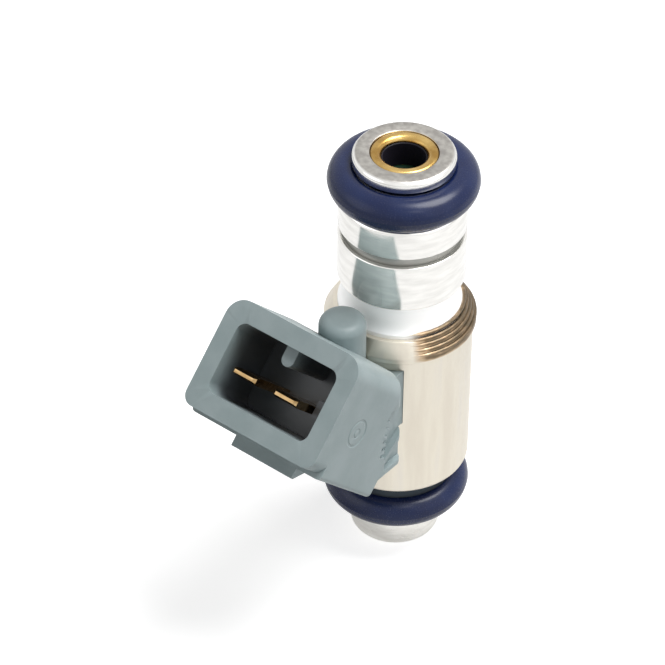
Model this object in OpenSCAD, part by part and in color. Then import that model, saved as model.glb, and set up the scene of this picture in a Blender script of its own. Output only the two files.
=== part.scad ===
// Electromagnetic petrol injector, top feed, 46.8 mm tall.
// Millimetres. Origin at the centre of the spray tip's bottom face, +Z up the injector axis,
// the electrical socket points towards -Y and the mid-plane is X = 0.

/* [Height of each band, from the tip upwards] */
// Height of the tip ring
tip_h = 4.35; // [3.5:0.05:5.2]
// Width of both O-ring grooves
groove_w = 3.6; // [3.55:0.05:4.6]
// Bare collar of the valve body under the can
collar_h = 1.75; // [1.2:0.05:2.6]
// Height of the outer can
can_h = 19.1; // [15.9:0.1:23]
// Height of the waist that takes the retaining clip
waist_h = 3.6; // [3:0.1:4.4]
// Height of the thick neck under the top O-ring
neck_h = 9.5; // [7.9:0.1:11.4]
// Thickness of the inlet flange
flange_t = 1.3; // [1:0.1:1.8]

/* [Outer radii] */
// Tip ring
tip_r = 4.5; // [4.3:0.05:5.4]
// Bottom of both O-ring grooves
core_r = 3.78; // [3.7:0.01:3.9]
// Cross-section radius of the O-rings
seal_wire_r = 1.75; // [1.5:0.01:1.77]
// Collar of the valve body under the can
collar_r = 5.9; // [5.5:0.05:6]
// Outer can
can_r = 7.15; // [7.1:0.05:8.6]
// Waist under the neck
waist_r = 5.75; // [5:0.05:5.9]
// Neck
neck_r = 6.25; // [6:0.05:7.2]
// Inlet flange
flange_r = 4.98; // [4.7:0.02:5.9]

/* [Neck and can details] */
// Width of the turned groove round the neck
ring_groove_w = 1.06; // [0.6:0.02:1.4]
// Depth of the turned groove round the neck
ring_groove_d = 0.5; // [0.3:0.05:0.7]
// Height of that groove above the foot of the neck
ring_groove_z = 5.2; // [4.6:0.1:6]
// Wall of the outer can
can_wall = 0.7; // [0.5:0.05:0.8]
// How far the welded shoulder of the can stands proud of its wall
shoulder_proud = 0.3; // [0.1:0.05:0.5]
// Weld ridges round the shoulder
shoulder_ridges = 4; // [2:1:5]
// Radius of one weld ridge
ridge_r = 0.16; // [0.1:0.02:0.2]
// Small edge break on turned pieces
edge = 0.25; // [0.1:0.05:0.35]

/* [Fuel inlet and filter] */
// Outer radius of the filter's brass collar, which sits flush in the inlet
filter_r = 3.3; // [3:0.05:3.4]
// Bore of the brass collar
inlet_bore_r = 2.2; // [1.9:0.05:2.5]
// Height of the brass collar
filter_collar_h = 3.2; // [2.6:0.1:4]
// Depth of the filter chamber under the inlet
chamber_depth = 13; // [12:0.1:15]
// Length of the filter basket under its head
basket_l = 7.6; // [6:0.1:8]
// Outer radius of the basket's ribs
basket_r = 2.15; // [1.9:0.05:2.4]
// Ribs of the basket
basket_ribs = 4; // [3:1:6]

/* [Magnet and moving valve] */
// Bore for the spring and its adjusting tube
spring_bore_r = 2; // [1.8:0.05:2.2]
// Wall of the adjusting tube
adjuster_wall = 0.8; // [0.5:0.05:1]
// Length of the adjusting tube
adjuster_l = 6; // [4:0.1:7]
// Outer radius of the return spring
spring_r = 1.75; // [1.6:0.01:1.77]
// Wire radius of the return spring
spring_wire_r = 0.22; // [0.18:0.01:0.26]
// Turns of the return spring
spring_turns = 8; // [5:1:10]
// Installed length of the return spring
spring_l = 9.1; // [8:0.1:11]
// Length of the armature
armature_l = 5.7; // [5:0.1:6.8]
// Radial running clearance of the armature
armature_gap = 0.05; // [0.03:0.01:0.08]
// Lift of the valve
lift = 0.1; // [0.05:0.01:0.15]
// Clearance that stays above the armature at full lift
stop_gap = 0.03; // [0.02:0.01:0.05]
// Wall of the thin sleeve round the armature and the pole
sleeve_wall = 0.4; // [0.3:0.05:0.5]
// Outer radius of the valve needle tube
needle_r = 1; // [0.8:0.05:1.1]
// Bore of the valve needle tube
needle_bore_r = 0.5; // [0.4:0.05:0.6]
// Radius of the valve ball
ball_r = 1.4; // [1.2:0.05:1.6]
// Clearance between the ball and its seat and guide
ball_gap = 0.03; // [0.02:0.01:0.05]
// Core wall of the coil bobbin
bobbin_wall = 0.45; // [0.35:0.05:0.6]
// Thickness of the bobbin's end flanges
bobbin_flange_t = 0.8; // [0.6:0.05:1]
// Thickness of the magnetic washers above and below the coil
washer_t = 1.1; // [0.8:0.05:1.3]
// Plastic between the coil and the can
overmould_t = 0.4; // [0.3:0.05:0.5]

/* [Seat and spray plate] */
// Radius of the valve seat and of the plates on it
seat_r = 3; // [2.8:0.05:3.2]
// Thickness of the valve seat
seat_t = 1.6; // [1.4:0.05:2]
// Thickness of the ball guide
guide_t = 1.2; // [1:0.05:1.4]
// Thickness of the spray plate
plate_t = 0.3; // [0.2:0.05:0.4]
// Thickness of the tip ring's lip under the spray plate
tip_lip_t = 0.6; // [0.5:0.05:0.9]
// Spray opening in the tip ring
spray_r = 2; // [1.6:0.05:2.4]
// Spray holes
spray_holes = 4; // [2:1:6]
// Radius of one spray hole
spray_hole_r = 0.15; // [0.1:0.01:0.2]

/* [Electrical socket] */
// Upward tilt of the socket
socket_tilt = 45; // [40:1:50]
// Width of the socket
socket_w = 15.8; // [14.6:0.1:19]
// Height of the socket, across its short side
socket_h = 11.4; // [10.6:0.1:13.6]
// Side walls
side_wall = 1.9; // [1.5:0.05:2.2]
// Top and bottom walls
flat_wall = 2; // [1.6:0.05:2.3]
// Outer corner radius beside the top wall
socket_corner_r = 2; // [1:0.1:2.6]
// Outer corner radius beside the bottom wall
socket_foot_r = 1.2; // [0.8:0.1:2]
// How far the underside drops behind the mouth's collar
belly_drop = 0.5; // [0.2:0.1:0.8]
// Corner radius of the dropped underside
belly_r = 0.5; // [0.3:0.1:1]
// Length of the mouth's collar
collar_l = 2.5; // [1.5:0.1:4]
// Corner radius of the cavity
cavity_corner_r = 1; // [0.5:0.1:1.4]
// Depth of the cavity
cavity_depth = 8; // [7:0.1:9]
// Centre of the mouth, outwards from the can's wall
mouth_reach = 12.28; // [11.8:0.05:14]
// Centre of the mouth above the can's top
mouth_rise = 2.31; // [1.8:0.05:3]
// Space between the can's wall and the block's flat back
back_gap = 2.1; // [1.9:0.05:3]
// Corner radius of the block's upright back edges
back_corner_r = 1; // [0.6:0.1:1.6]
// Underside of the block below the can's top
block_drop = 11.3; // [10.4:0.1:12]
// Height of the relief at the back of the block's underside
relief_h = 1.3; // [0.8:0.1:1.6]
// Length of that relief, from the block's back
relief_l = 3.9; // [2:0.1:4.4]
// Radius of the round boss beside the waist
boss_r = 2.3; // [2:0.05:2.5]
// Space between the boss and the neck
boss_gap = 0.45; // [0.3:0.05:0.8]
// Height of the boss above the can's top
boss_rise = 3.5; // [2.9:0.1:4.2]
// Width of the latch lug under the socket
lug_w = 7.4; // [5:0.1:8.4]
// Height of the latch lug
lug_h = 1.8; // [1:0.1:2.4]
// Length of the latch lug's back slope
lug_l = 2.6; // [2:0.1:4]
// Distance of the latch lug's face behind the mouth
lug_back = 5.1; // [4:0.1:6]
// Width of the keying rib in the cavity
key_w = 1.4; // [1:0.1:1.8]
// Height of the keying rib
key_h = 1.9; // [1.2:0.1:2.2]
// Width of the coding step on one side of the cavity
step_w = 2.8; // [1:0.1:2.9]
// Height of the coding step above the cavity's floor
step_h = 4; // [2:0.1:5]
// Thickness of the coding step
step_t = 1.8; // [1:0.1:2.4]

/* [Terminals] */
// Blade width
blade_w = 2.8; // [2.3:0.1:3]
// Blade thickness
blade_t = 0.8; // [0.6:0.05:0.9]
// Distance between the blades' centres
blade_pitch = 5; // [4.6:0.1:5.4]
// Sideways offset of the pair, away from the coding step
blade_shift = 1.1; // [0.6:0.05:1.2]
// Offset of the pair below the cavity's middle
blade_drop = 0.8; // [0.4:0.05:1]
// Blade tips behind the mouth
blade_recess = 0.9; // [0.5:0.1:3]
// Chamfer at the blade tips
blade_chamfer = 0.3; // [0.1:0.05:0.35]
// Width of the legs that run to the coil
leg_w = 1.6; // [1:0.1:1.8]

/* [Hidden] */
$fn = 72;

// running and assembly clearances
slip = 0.05;
seal_slip = 0.02;
clear = 0.3;
over = 1;
mid_fn = 32;

// heights of the bands
groove_lo_z = tip_h;
collar_z = groove_lo_z + groove_w;
can_z = collar_z + collar_h;
can_top_z = can_z + can_h;
neck_z = can_top_z + waist_h;
neck_top_z = neck_z + neck_h;
flange_z = neck_top_z + groove_w;
top_z = flange_z + flange_t;

// inside the can, from its rolled bottom lip up to the crimp over the neck's foot
can_bore_r = can_r - can_wall;
packed_r = can_bore_r - slip;
lip_t = 0.7;
body_flange_t = 1.6;
crimp_t = 0.55;
crimp_r = neck_r - 0.1;
foot_t = 1.25;
body_flange_z = can_z + lip_t;
lower_washer_z = body_flange_z + body_flange_t;
coil_z = lower_washer_z + washer_t;
foot_z = can_top_z - crimp_t - foot_t;
upper_washer_z = foot_z - washer_t;
coil_h = upper_washer_z - coil_z;
shoulder_h = 2.3;

// coil
sleeve_r = core_r + sleeve_wall;
bobbin_core_r = sleeve_r + slip + bobbin_wall;
overmould_bore_r = packed_r - overmould_t;
bobbin_r = overmould_bore_r - slip;

// armature and pole, set by the valve body
armature_z = can_z - 0.3;
armature_r = core_r - armature_gap;
armature_top_z = armature_z + armature_l;
pole_z = armature_top_z + lift + stop_gap;
spring_pocket_d = 2.2;
spring_seat_z = armature_top_z - spring_pocket_d;
adjuster_z = spring_seat_z + spring_l;
sleeve_seat_d = 1.1;
sleeve_z = lower_washer_z - sleeve_seat_d;

// tip stack
plate_z = tip_lip_t;
seat_z = plate_z + plate_t;
guide_z = seat_z + seat_t;
stack_top_z = guide_z + guide_t;
needle_way_r = needle_r + 0.6;
chamber_z = armature_z - 0.4;
seat_angle = 45;
ball_z = seat_z + seat_t + 0.4;
seat_contact_r = (ball_r + ball_gap) * sin(seat_angle);
seat_contact_z = ball_z - (ball_r + ball_gap) * cos(seat_angle);
sac_r = 0.4;

// filter
filter_collar_z = top_z - filter_collar_h;
frame_head_t = 1;
frame_head_z = filter_collar_z - frame_head_t;
basket_z = frame_head_z - basket_l;
basket_wall = 0.45;
mesh_wall = 0.1;
mesh_r = basket_r - basket_wall;
cup_t = 0.8;
chamber_floor_z = top_z - chamber_depth;

// socket block
mouth_y = -(can_r + mouth_reach);
mouth_z = can_top_z + mouth_rise;
block_back_y = -(can_r + back_gap);
block_z = can_top_z - block_drop;
socket_len = 22;
cavity_w = socket_w - 2 * side_wall;
cavity_h = socket_h - 2 * flat_wall;
root_w = 9.4;
root_lo_z = block_z + relief_h + 0.2;
root_hi_z = upper_washer_z - 0.2;
boss_y = -(neck_r + boss_gap + boss_r);
boss_foot_z = root_hi_z - 4;
boss_round = 1;
key_recess = 0.8;
pocket_d = 0.6;
pocket_h = 6.8;

// terminals
leg_z = (root_lo_z + root_hi_z) / 2;
blade_x = [-blade_shift - blade_pitch / 2, -blade_shift + blade_pitch / 2];
tip_y = mouth_y + blade_recess * cos(socket_tilt) - blade_drop * sin(socket_tilt);
tip_z = mouth_z - blade_recess * sin(socket_tilt) - blade_drop * cos(socket_tilt);
knee_y = tip_y + (tip_z - leg_z) / tan(socket_tilt);
blade_run = (tip_z - leg_z) / sin(socket_tilt);
wide_run = cavity_depth + 1.2;

// ---- shared shapes ----

module ring(r_out, r_in, h) {
    difference() {
        cylinder(r = r_out, h = h);
        translate([0, 0, -over]) cylinder(r = r_in, h = h + 2 * over);
    }
}

// rectangle with one corner radius along its upper side and another along its lower side
module rounded_rect(w, h, r_up, r_low) {
    r_most = max(r_up, r_low);
    square([w - 2 * r_most, h], center = true);
    translate([-w / 2, r_low - h / 2]) square([w, h - r_up - r_low]);
    for (sx = [-1, 1]) {
        translate([sx * (w / 2 - r_up), h / 2 - r_up]) circle(r = r_up);
        translate([sx * (w / 2 - r_low), r_low - h / 2]) circle(r = r_low);
    }
    translate([r_up - w / 2, 0]) square([w - 2 * r_up, h / 2]);
    translate([r_low - w / 2, -h / 2]) square([w - 2 * r_low, h / 2]);
}

// socket frame: Z points out of the mouth, Y towards the socket's top wall
module at_mouth() {
    translate([0, mouth_y, mouth_z]) rotate([90 - socket_tilt, 0, 0]) children();
}

// a flat outline drawn in (outwards, up) and given a width along X
module side_plate(w) {
    rotate([90, 0, -90]) translate([0, 0, -w / 2]) linear_extrude(w) children();
}

// ---- fuel inlet ----

// One turned piece: inlet flange, core of the top groove and magnet pole.
module inlet_tube() {
    color([0.82, 0.82, 0.8]) rotate_extrude() polygon([
        [spring_bore_r, pole_z],
        [core_r, pole_z],
        [core_r, flange_z],
        [flange_r - edge, flange_z],
        [flange_r, flange_z + edge],
        [flange_r, top_z - edge],
        [flange_r - edge, top_z],
        [filter_r, top_z],
        [filter_r, chamber_floor_z],
        [spring_bore_r, chamber_floor_z]
    ]);
}

module filter_collar() {
    color([0.8, 0.62, 0.28]) rotate_extrude() polygon([
        [inlet_bore_r, filter_collar_z],
        [filter_r, filter_collar_z],
        [filter_r, top_z - edge / 2],
        [filter_r - edge / 2, top_z],
        [inlet_bore_r + edge, top_z],
        [inlet_bore_r, top_z - edge]
    ]);
}

// Moulded basket: a head under the collar, ribs and a closed cup.
module filter_frame() {
    rib_w = 0.7;
    color([0.16, 0.3, 0.2]) {
        translate([0, 0, frame_head_z]) ring(filter_r - 2 * slip, mesh_r, frame_head_t);
        translate([0, 0, basket_z]) cylinder(r = basket_r, h = cup_t);
        for (i = [0 : basket_ribs - 1])
            rotate([0, 0, 45 + i * 360 / basket_ribs])
                intersection() {
                    translate([0, -rib_w / 2, basket_z]) cube([basket_r, rib_w, basket_l + frame_head_t / 2]);
                    translate([0, 0, basket_z]) ring(basket_r, mesh_r, basket_l + frame_head_t / 2);
                }
        translate([0, 0, basket_z + basket_l / 2]) ring(basket_r, mesh_r, rib_w);
    }
}

module filter_mesh() {
    color([0.3, 0.42, 0.32]) translate([0, 0, basket_z + cup_t])
        ring(mesh_r, mesh_r - mesh_wall, basket_l + frame_head_t - cup_t);
}

module adjusting_tube() {
    color([0.7, 0.7, 0.68]) translate([0, 0, adjuster_z])
        ring(spring_bore_r, spring_bore_r - adjuster_wall, adjuster_l);
}

// ---- return spring: closed end coils, one wire swept along a helix ----

spring_sides = 6;
spring_steps = 20;
spring_pitch_r = spring_r - spring_wire_r;
spring_rings = spring_turns * spring_steps;

// rise of the wire's centre at a share f of its length, flat over the end coils
function spring_rise(f) =
    let (end = 0.9 / spring_turns, dead = 2.1 * spring_wire_r, run = spring_l - 2 * spring_wire_r)
    f < end ? dead * f / end
    : f > 1 - end ? run - dead * (1 - f) / end
    : dead + (run - 2 * dead) * (f - end) / (1 - 2 * end);

function spring_point(i, j) =
    let (f = i / spring_rings, a = 360 * spring_turns * f, b = 360 * j / spring_sides,
        r = spring_pitch_r + spring_wire_r * cos(b))
    [r * cos(a), r * sin(a), spring_seat_z + spring_wire_r + spring_rise(f) + spring_wire_r * sin(b)];

module return_spring() {
    points = [for (i = [0 : spring_rings], j = [0 : spring_sides - 1]) spring_point(i, j)];
    walls = [for (i = [0 : spring_rings - 1], j = [0 : spring_sides - 1])
        let (k = (j + 1) % spring_sides, a = i * spring_sides, b = a + spring_sides)
        [a + j, a + k, b + k, b + j]];
    start_cap = [for (j = [spring_sides - 1 : -1 : 0]) j];
    end_cap = [for (j = [0 : spring_sides - 1]) spring_rings * spring_sides + j];
    color([0.55, 0.56, 0.58]) polyhedron(points, concat([start_cap], walls, [end_cap]), convexity = 10);
}

// ---- body metalwork ----

// Neck, turned groove, clip waist and the foot that the can is crimped over.
module neck_sleeve() {
    groove_z = neck_z + ring_groove_z;
    chamfer = 0.4;
    color([0.86, 0.86, 0.84]) rotate_extrude() polygon([
        [core_r, foot_z],
        [packed_r, foot_z],
        [packed_r, foot_z + foot_t],
        [waist_r, foot_z + foot_t],
        [waist_r, neck_z],
        [neck_r - edge, neck_z],
        [neck_r, neck_z + edge],
        [neck_r, groove_z],
        [neck_r - ring_groove_d, groove_z],
        [neck_r - ring_groove_d, groove_z + ring_groove_w],
        [neck_r, groove_z + ring_groove_w],
        [neck_r, neck_top_z - chamfer],
        [neck_r - chamfer, neck_top_z],
        [core_r, neck_top_z]
    ]);
}

// Drawn can: rolled lip at the bottom, welded ridged shoulder at the top, window for the socket.
module outer_can() {
    shoulder_z = can_top_z - shoulder_h;
    out_r = can_r + shoulder_proud;
    in_r = max(crimp_r + 0.35, can_bore_r + slip);
    roll = 0.4;
    color([0.9, 0.87, 0.8]) difference() {
        rotate_extrude() {
            polygon([
                [collar_r + slip, can_z],
                [can_r - roll, can_z],
                [can_r, can_z + roll],
                [can_r, shoulder_z],
                [out_r, shoulder_z + shoulder_proud],
                [out_r, shoulder_z + 3 * shoulder_proud],
                [in_r, can_top_z],
                [crimp_r, can_top_z],
                [crimp_r, can_top_z - crimp_t],
                [can_bore_r, can_top_z - crimp_t],
                [can_bore_r, body_flange_z],
                [collar_r + slip, body_flange_z]
            ]);
            for (i = [0 : shoulder_ridges - 1])
                let (f = (i + 0.5) / shoulder_ridges, low_z = shoulder_z + 3 * shoulder_proud)
                translate([out_r + (in_r - out_r) * f, low_z + (can_top_z - low_z) * f]) circle(r = ridge_r);
        }
        translate([-root_w / 2 - slip, -2 * can_r, root_lo_z - slip])
            cube([root_w + 2 * slip, 2 * can_r - core_r, root_hi_z - root_lo_z + 2 * slip]);
    }
}

// ---- electrical socket, moulded round the coil ----

module socket_block() {
    half = 25;
    intersection() {
        at_mouth() {
            translate([0, 0, -socket_len]) linear_extrude(socket_len)
                rounded_rect(socket_w, socket_h, socket_corner_r, socket_foot_r);
            translate([0, -belly_drop / 2, -socket_len]) linear_extrude(socket_len - collar_l)
                rounded_rect(socket_w, socket_h + belly_drop, socket_corner_r, belly_r);
        }
        translate([0, block_back_y - half, block_z]) linear_extrude(2 * half)
            rounded_rect(socket_w, 2 * half, back_corner_r, back_corner_r);
    }
}

module socket_cavity() {
    at_mouth() difference() {
        translate([0, 0, -cavity_depth]) linear_extrude(cavity_depth + over)
            rounded_rect(cavity_w, cavity_h, cavity_corner_r, cavity_corner_r);
        // keying rib on the top wall, set a little behind the mouth
        translate([0, cavity_h / 2 - key_h + key_w / 2, -cavity_depth]) {
            cylinder(r = key_w / 2, h = cavity_depth - key_recess);
            translate([-key_w / 2, 0, 0]) cube([key_w, key_h, cavity_depth - key_recess]);
        }
        // coding step beside the blades
        translate([cavity_w / 2 - step_w, -step_t + 0.4, -cavity_depth]) cube([step_w + over, step_t, step_h]);
    }
}

module latch_lug() {
    at_mouth() rotate([90, 0, 90]) translate([0, 0, -lug_w / 2]) linear_extrude(lug_w) polygon([
        [over - socket_h / 2, -lug_back],
        [-lug_h - socket_h / 2, -lug_back],
        [-lug_h - socket_h / 2, -lug_back - 0.4],
        [-belly_drop - socket_h / 2, -lug_back - lug_l],
        [over - socket_h / 2, -lug_back - lug_l]
    ]);
}

// round boss beside the clip waist, cut back to stay clear of the can's shoulder
module waist_boss() {
    boss_top_z = can_top_z + boss_rise;
    difference() {
        translate([0, boss_y, 0]) rotate_extrude() {
            translate([0, boss_foot_z]) square([boss_r, boss_top_z - boss_foot_z - boss_round]);
            translate([0, boss_foot_z]) square([boss_r - boss_round, boss_top_z - boss_foot_z]);
            translate([boss_r - boss_round, boss_top_z - boss_round]) circle(r = boss_round);
        }
        cylinder(r = can_r + shoulder_proud + clear, h = can_top_z + clear);
    }
}

// shallow pocket with a slanted web at the foot of each flank
module flank_pocket() {
    web_t = 0.5;
    low = block_z + relief_h + 0.5;
    back = -block_back_y;
    difference() {
        side_plate(socket_w + 2 * over) polygon([
            [back - over, low],
            [back + 3, low],
            [back + 3, low + 2.2],
            [back + 2, low + pocket_h],
            [back - over, low + pocket_h - 0.4]
        ]);
        side_plate(socket_w - 2 * pocket_d) translate([0, block_z - over]) square([40, 20]);
        side_plate(socket_w + 4 * over) translate([back - over, low + 3.6]) rotate([0, 0, -35]) square([5, web_t]);
    }
}

module connector_body() {
    color([0.6, 0.64, 0.65]) difference() {
        union() {
            socket_block();
            latch_lug();
            waist_boss();
            translate([-root_w / 2, block_back_y - over, root_lo_z])
                cube([root_w, -block_back_y + over - core_r, root_hi_z - root_lo_z]);
            translate([0, 0, coil_z]) cylinder(r = packed_r, h = coil_h);
        }
        translate([0, 0, coil_z - over]) cylinder(r = overmould_bore_r, h = coil_h + 2 * over);
        socket_cavity();
        flank_pocket();
        // relief under the block's back, sloping down to the underside in front
        side_plate(2 * socket_w) polygon([
            [-block_back_y - over, block_z + relief_h],
            [relief_l - block_back_y, block_z + relief_h],
            [relief_l + relief_h - block_back_y, block_z],
            [relief_l + relief_h - block_back_y, block_z - over],
            [-block_back_y - over, block_z - over]
        ]);
        for (x = blade_x) terminal_shape(x);
    }
}

// ---- terminals: wide chamfered blade in the socket, narrow leg to the coil ----

module blade_front(x) {
    translate([x, 0, 0]) at_mouth() translate([0, -blade_drop, -blade_recess]) intersection() {
        rotate([90, 0, 0]) translate([0, 0, -blade_t / 2]) linear_extrude(blade_t) polygon([
            [-blade_w / 2, -wide_run],
            [blade_w / 2, -wide_run],
            [blade_w / 2, -blade_chamfer],
            [blade_w / 2 - blade_chamfer, 0],
            [-blade_w / 2 + blade_chamfer, 0],
            [-blade_w / 2, -blade_chamfer]
        ]);
        rotate([90, 0, 90]) translate([0, 0, -blade_w / 2]) linear_extrude(blade_w) polygon([
            [-blade_t / 2, -wide_run],
            [blade_t / 2, -wide_run],
            [blade_t / 2, -3 * blade_chamfer],
            [blade_t / 5, 0],
            [-blade_t / 5, 0],
            [-blade_t / 2, -3 * blade_chamfer]
        ]);
    }
}

module terminal_shape(x) {
    blade_front(x);
    difference() {
        translate([x, 0, 0]) side_plate(leg_w) {
            translate([-tip_y, tip_z]) rotate([0, 0, socket_tilt - 180])
                translate([wide_run - 0.5, -blade_t / 2]) square([blade_run - wide_run + 0.5, blade_t]);
            translate([-knee_y, leg_z]) circle(r = blade_t / 2);
            translate([core_r, leg_z - blade_t / 2]) square([-knee_y - core_r, blade_t]);
        }
        translate([0, 0, coil_z]) cylinder(r = bobbin_r, h = coil_h);
    }
}

module terminal_left() {
    color([0.78, 0.6, 0.34]) terminal_shape(blade_x[0]);
}

module terminal_right() {
    color([0.78, 0.6, 0.34]) terminal_shape(blade_x[1]);
}

// ---- magnet ----

module coil_bobbin() {
    color([0.12, 0.12, 0.13]) translate([0, 0, coil_z]) {
        ring(bobbin_core_r, sleeve_r + slip, coil_h);
        ring(bobbin_r, sleeve_r + slip, bobbin_flange_t);
        translate([0, 0, coil_h - bobbin_flange_t]) ring(bobbin_r, sleeve_r + slip, bobbin_flange_t);
    }
}

module coil_winding() {
    color([0.72, 0.36, 0.18]) translate([0, 0, coil_z + bobbin_flange_t])
        ring(bobbin_r, bobbin_core_r, coil_h - 2 * bobbin_flange_t);
}

module flux_washer() {
    ring(packed_r, sleeve_r + slip, washer_t);
}

module upper_flux_washer() {
    color([0.5, 0.5, 0.5]) translate([0, 0, upper_washer_z]) flux_washer();
}

module lower_flux_washer() {
    color([0.5, 0.5, 0.5]) translate([0, 0, lower_washer_z]) flux_washer();
}

// thin non-magnetic sleeve: seals the fuel space, joins the valve body to the pole
module armature_sleeve() {
    color([0.75, 0.76, 0.78]) translate([0, 0, sleeve_z]) ring(sleeve_r, core_r, foot_z - sleeve_z);
}

// ---- moving valve ----

module armature() {
    flow_r = 0.45;
    color([0.6, 0.6, 0.62]) difference() {
        translate([0, 0, armature_z]) cylinder(r = armature_r, h = armature_l);
        translate([0, 0, armature_z - over]) cylinder(r = needle_r, h = armature_l);
        translate([0, 0, spring_seat_z]) cylinder(r = spring_r + slip, h = spring_pocket_d + over);
        for (i = [0 : 3])
            rotate([0, 0, 45 + 90 * i]) translate([2.6, 0, armature_z - over])
                cylinder(r = flow_r, h = armature_l + 2 * over, $fn = mid_fn);
    }
}

module needle_tube() {
    color([0.72, 0.72, 0.74]) difference() {
        translate([0, 0, ball_z]) ring(needle_r, needle_bore_r, spring_seat_z - ball_z);
        translate([0, 0, ball_z]) sphere(r = ball_r);
        for (a = [0, 90])
            rotate([0, 0, a]) translate([0, 0, chamber_z - 1.5]) rotate([90, 0, 0])
                cylinder(r = 0.3, h = 4 * needle_r, center = true, $fn = mid_fn);
    }
}

module valve_ball() {
    color([0.8, 0.8, 0.82]) translate([0, 0, ball_z]) sphere(r = ball_r);
}

// ---- valve body and tip ----

module valve_body() {
    color([0.8, 0.8, 0.78]) rotate_extrude() polygon([
        [seat_r, plate_z],
        [core_r, plate_z],
        [core_r, collar_z],
        [collar_r, collar_z],
        [collar_r, body_flange_z],
        [packed_r, body_flange_z],
        [packed_r, lower_washer_z],
        [sleeve_r, lower_washer_z],
        [sleeve_r, sleeve_z],
        [core_r, sleeve_z],
        [core_r, chamber_z],
        [needle_way_r, chamber_z],
        [needle_way_r, stack_top_z],
        [seat_r, stack_top_z]
    ]);
}

module ball_guide() {
    color([0.7, 0.7, 0.72]) difference() {
        translate([0, 0, guide_z]) cylinder(r = seat_r, h = guide_t);
        translate([0, 0, guide_z - over]) cylinder(r = ball_r + ball_gap, h = guide_t + 2 * over);
        for (i = [0 : 3])
            rotate([0, 0, 90 * i]) translate([ball_r + 0.2, 0, guide_z - over])
                cylinder(r = 0.4, h = guide_t + 2 * over, $fn = mid_fn);
    }
}

module valve_seat() {
    color([0.66, 0.66, 0.68]) rotate_extrude() polygon([
        [sac_r, seat_z],
        [seat_r, seat_z],
        [seat_r, seat_z + seat_t],
        [seat_contact_r + (seat_z + seat_t - seat_contact_z) * tan(seat_angle), seat_z + seat_t],
        [sac_r, seat_contact_z - (seat_contact_r - sac_r) / tan(seat_angle)]
    ]);
}

module spray_plate() {
    color([0.78, 0.78, 0.8]) difference() {
        translate([0, 0, plate_z]) cylinder(r = seat_r, h = plate_t);
        for (i = [0 : spray_holes - 1])
            rotate([0, 0, 45 + i * 360 / spray_holes]) translate([sac_r - spray_hole_r / 2, 0, plate_z - over])
                cylinder(r = spray_hole_r, h = plate_t + 2 * over, $fn = mid_fn);
    }
}

module tip_ring() {
    color([0.86, 0.84, 0.8]) rotate_extrude() polygon([
        [spray_r, 0],
        [tip_r - edge, 0],
        [tip_r, edge],
        [tip_r, tip_h - edge],
        [tip_r - edge, tip_h],
        [core_r, tip_h],
        [core_r, tip_lip_t],
        [spray_r, tip_lip_t]
    ]);
}

// ---- seals ----

module oring(z) {
    color([0.14, 0.17, 0.4]) translate([0, 0, z]) rotate_extrude()
        translate([core_r + seal_slip + seal_wire_r, 0]) circle(r = seal_wire_r);
}

module top_oring() {
    oring(neck_top_z + groove_w / 2);
}

module lower_oring() {
    oring(groove_lo_z + groove_w / 2);
}

inlet_tube();
filter_collar();
filter_frame();
filter_mesh();
adjusting_tube();
return_spring();
neck_sleeve();
outer_can();
connector_body();
terminal_left();
terminal_right();
coil_bobbin();
coil_winding();
upper_flux_washer();
lower_flux_washer();
armature_sleeve();
armature();
needle_tube();
valve_ball();
valve_body();
ball_guide();
valve_seat();
spray_plate();
tip_ring();
top_oring();
lower_oring();
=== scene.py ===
import math

import bmesh
import bpy
from mathutils import Matrix, Vector


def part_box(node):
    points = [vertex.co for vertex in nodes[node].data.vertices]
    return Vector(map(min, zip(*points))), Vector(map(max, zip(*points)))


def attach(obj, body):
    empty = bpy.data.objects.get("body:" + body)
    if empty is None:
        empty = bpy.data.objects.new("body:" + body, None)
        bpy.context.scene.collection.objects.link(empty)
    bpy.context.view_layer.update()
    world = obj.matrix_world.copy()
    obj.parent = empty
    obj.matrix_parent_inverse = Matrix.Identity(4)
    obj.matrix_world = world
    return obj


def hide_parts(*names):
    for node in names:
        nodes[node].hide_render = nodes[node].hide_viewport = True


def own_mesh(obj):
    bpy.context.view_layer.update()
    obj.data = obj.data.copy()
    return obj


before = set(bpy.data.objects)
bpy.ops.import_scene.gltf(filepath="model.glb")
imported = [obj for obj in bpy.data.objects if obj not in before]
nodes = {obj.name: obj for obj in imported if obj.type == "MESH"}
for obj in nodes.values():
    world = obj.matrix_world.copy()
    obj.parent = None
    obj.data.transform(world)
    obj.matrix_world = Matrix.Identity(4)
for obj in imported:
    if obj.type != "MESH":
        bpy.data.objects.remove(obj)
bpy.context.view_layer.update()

MM = 0.001
scene = bpy.context.scene
scene.view_settings.view_transform = "Standard"


# ---- where it stands ----
# The injector stands on its tip on a white sheet of paper that runs out under it on all
# sides. A broad lamp stands high behind it on the right, two soft ones fill the sides and a
# small weak one stands in front of its right side.

def add(tree, kind, inputs=None, **settings):
    """One node of a shader or geometry tree, with its settings, constants and links."""
    node = tree.nodes.new(kind)
    for key, value in settings.items():
        setattr(node, key, value)
    for socket, value in (inputs or {}).items():
        if isinstance(value, bpy.types.NodeSocket):
            tree.links.new(value, node.inputs[socket])
        else:
            node.inputs[socket].default_value = value
    return node


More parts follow.
